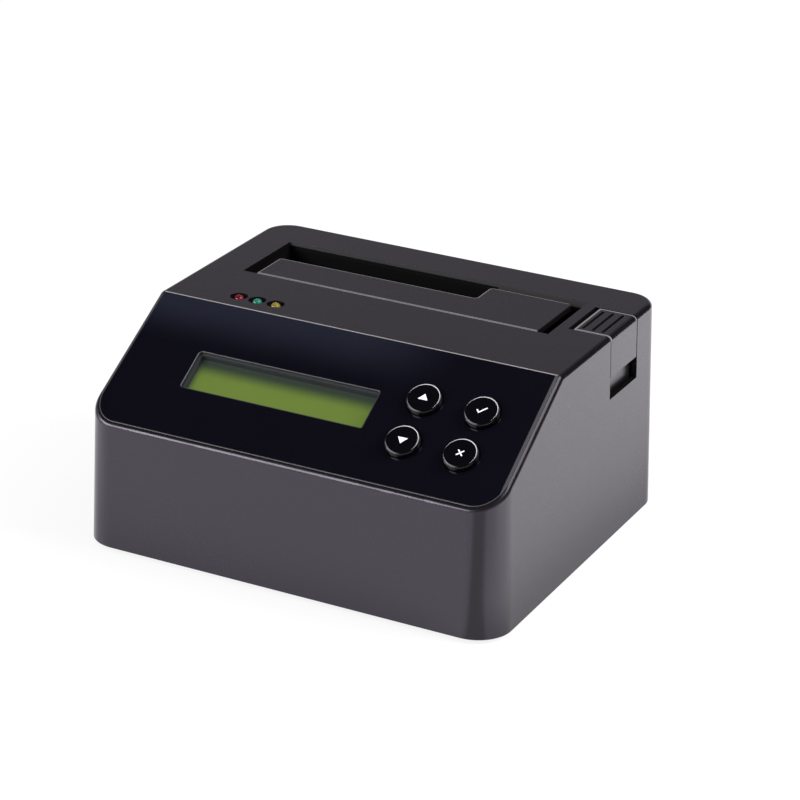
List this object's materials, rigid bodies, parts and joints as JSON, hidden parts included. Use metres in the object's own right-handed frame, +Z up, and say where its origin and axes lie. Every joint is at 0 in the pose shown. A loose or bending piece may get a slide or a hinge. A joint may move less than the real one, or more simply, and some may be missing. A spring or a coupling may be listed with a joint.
{
  "type": "hard drive eraser dock",
  "caption": "Desktop drive eraser dock with a top slot and flap for upright drives, an eject push, a sloped gloss panel with a character display and round keys, and indicator lamps.",
  "frame": {"origin": "middle of the footprint, on the surface that the rubber feet stand on", "axes": "+Z up, -Y towards the sloped control panel, +X towards the eject push"},
  "size_m": [0.143, 0.1224, 0.07],
  "materials": {
    "shell": "satin dark charcoal moulding",
    "base": "black moulding",
    "panel": "polished black sheet",
    "key": "polished black caps",
    "switch": "black switch bodies",
    "plunger": "pale switch plungers",
    "display": "green character display, blank",
    "backlight": "milky light guide",
    "bezel": "black steel frame",
    "lamp_red": "clear red lens",
    "lamp_green": "clear green lens",
    "lamp_yellow": "clear yellow lens",
    "rubber": "black rubber",
    "steel": "plain steel",
    "bay": "black moulding",
    "contacts": "gilt contacts",
    "board": "green circuit board",
    "chip": "black chip packages",
    "capacitor": "aluminium cans",
    "ribbon": "grey flat cable"
  },
  "bodies": {
    "case": {"upper_shell": "shell", "base_plate": "base", "control_panel": "panel", "key_switches": "switch", "power_switch": "switch", "display_glass": "display", "display_backlight": "backlight", "display_frame": "bezel", "lamp_red": "lamp_red", "lamp_green": "lamp_green", "lamp_yellow": "lamp_yellow", "rubber_feet": "rubber", "flap_hinge_pin": "steel", "flap_spring": "steel", "eject_lever_pin": "steel", "eject_spring": "steel", "case_screws": "steel", "display_screws": "steel", "lamp_screws": "steel", "bay_screws": "steel", "board_screws": "steel", "data_port": "steel", "clock_crystal": "steel", "drive_bay": "bay", "power_jack": "bay", "drive_connector": "bay", "data_port_tongue": "bay", "buzzer": "bay", "ribbon_sockets": "bay", "connector_contacts": "contacts", "power_jack_pin": "contacts", "main_board": "board", "display_board": "board", "key_board": "board", "lamp_board": "board", "processor_chip": "chip", "bridge_chip": "chip", "memory_chip": "chip", "power_inductor": "chip", "capacitors": "capacitor", "display_ribbon": "ribbon", "key_ribbon": "ribbon", "lamp_ribbon": "ribbon"},
    "flap": {"slot_flap": "shell"},
    "eject_button": {"eject_button": "shell"},
    "eject_lever": {"eject_lever": "bay"},
    "power_button": {"power_button": "bay"},
    "key_up": {"key_up": "key", "key_plunger_up": "plunger"},
    "key_ok": {"key_ok": "key", "key_plunger_ok": "plunger"},
    "key_down": {"key_down": "key", "key_plunger_down": "plunger"},
    "key_back": {"key_back": "key", "key_plunger_back": "plunger"}
  },
  "joints": [
    {"name": "flap_hinge", "type": "hinge", "parent": "case", "child": "flap", "pos_m": [-0.0022, 0.0112, 0.0649], "axis": [-1, 0, 0], "range_deg": [0, 88], "stiffness_Nm_per_rad": 0.003, "springref_deg": -34.38, "deforming": ["flap_spring"]},
    {"name": "eject_slide", "type": "slide", "parent": "case", "child": "eject_button", "axis": [0, 0, -1], "range_m": [0, 0.0065], "stiffness_N_per_m": 400, "springref_m": -0.004, "deforming": ["eject_spring"]},
    {"name": "lever_pivot", "type": "hinge", "parent": "case", "child": "eject_lever", "pos_m": [0.04077, 0.032, 0.0127], "axis": [0, 1, 0], "range_deg": [0, 17.1]},
    {"name": "power_press", "type": "slide", "parent": "case", "child": "power_button", "axis": [0, -1, 0], "range_m": [0, 0.002], "stiffness_N_per_m": 300, "springref_m": -0.002},
    {"name": "key_up_press", "type": "slide", "parent": "case", "child": "key_up", "axis": [0, 0.5227, -0.8525], "range_m": [0, 0.0006], "stiffness_N_per_m": 300, "springref_m": -0.001},
    {"name": "key_ok_press", "type": "slide", "parent": "case", "child": "key_ok", "axis": [0, 0.5227, -0.8525], "range_m": [0, 0.0006], "stiffness_N_per_m": 300, "springref_m": -0.001},
    {"name": "key_down_press", "type": "slide", "parent": "case", "child": "key_down", "axis": [0, 0.5227, -0.8525], "range_m": [0, 0.0006], "stiffness_N_per_m": 300, "springref_m": -0.001},
    {"name": "key_back_press", "type": "slide", "parent": "case", "child": "key_back", "axis": [0, 0.5227, -0.8525], "range_m": [0, 0.0006], "stiffness_N_per_m": 300, "springref_m": -0.001}
  ],
  "couplings": [
    {"joint": "lever_pivot", "follows": "eject_slide", "rad_per_m": 45.662}
  ]
}
